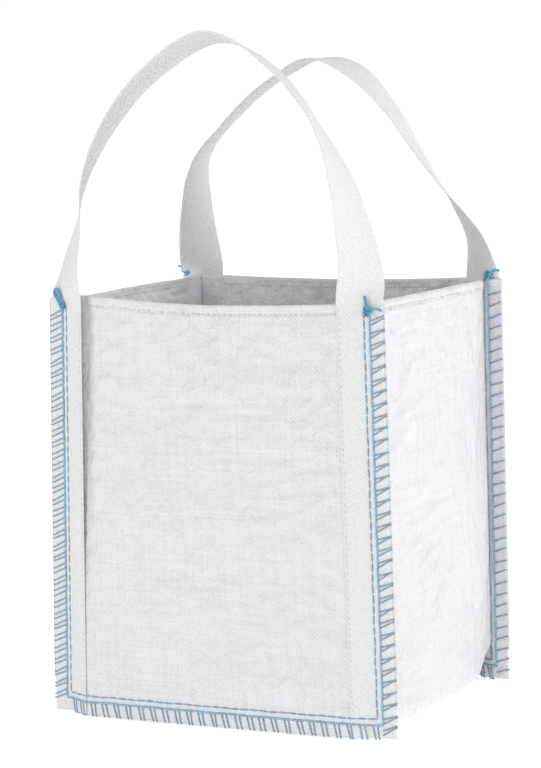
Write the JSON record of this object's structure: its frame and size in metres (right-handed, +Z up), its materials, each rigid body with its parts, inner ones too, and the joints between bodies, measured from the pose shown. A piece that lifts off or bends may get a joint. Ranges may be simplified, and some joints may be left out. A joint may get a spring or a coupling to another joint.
{
  "type": "bulk bag",
  "caption": "Small open-top woven bulk bag with a U-panel body, sewn corner fins, overlocked seams and webbing lift loops that fold over the rim.",
  "frame": {"origin": "middle of the base, on the floor that the bag stands on", "axes": "+Z up, -Y out of the front panel, +X to the right of the front panel"},
  "size_m": [0.3796, 0.3306, 0.6817],
  "materials": {
    "woven_fabric": "coated woven polypropylene tape, slightly glossy",
    "webbing": "twill-woven polypropylene webbing",
    "blue_thread": "light blue multifilament sewing thread",
    "white_thread": "white multifilament sewing thread"
  },
  "bodies": {
    "bag": {"u_panel": "woven_fabric", "front_panel": "woven_fabric", "back_panel": "woven_fabric", "front_left_webbing": "webbing", "front_right_webbing": "webbing", "back_left_webbing": "webbing", "back_right_webbing": "webbing", "front_overlock_strands": "blue_thread", "back_overlock_strands": "blue_thread", "front_overlock_needle_thread": "blue_thread", "back_overlock_needle_thread": "blue_thread", "front_chain_stitch": "blue_thread", "back_chain_stitch": "blue_thread", "front_left_knot": "blue_thread", "front_right_knot": "blue_thread", "back_left_knot": "blue_thread", "back_right_knot": "blue_thread", "front_left_webbing_stitches": "white_thread", "front_right_webbing_stitches": "white_thread", "back_left_webbing_stitches": "white_thread", "back_right_webbing_stitches": "white_thread", "front_hem_stitches": "white_thread", "back_hem_stitches": "white_thread", "left_hem_stitches": "white_thread", "right_hem_stitches": "white_thread"},
    "front_lift_loop": {"front_loop": "webbing"},
    "back_lift_loop": {"back_loop": "webbing"}
  },
  "joints": [
    {"name": "front_loop_fold", "type": "hinge", "parent": "bag", "child": "front_lift_loop", "pos_m": [0, -0.1475, 0.4215], "axis": [1, 0, 0], "range_deg": [-26, 130]},
    {"name": "back_loop_fold", "type": "hinge", "parent": "bag", "child": "back_lift_loop", "pos_m": [0, 0.1475, 0.4215], "axis": [-1, 0, 0], "range_deg": [-16, 130]}
  ]
}
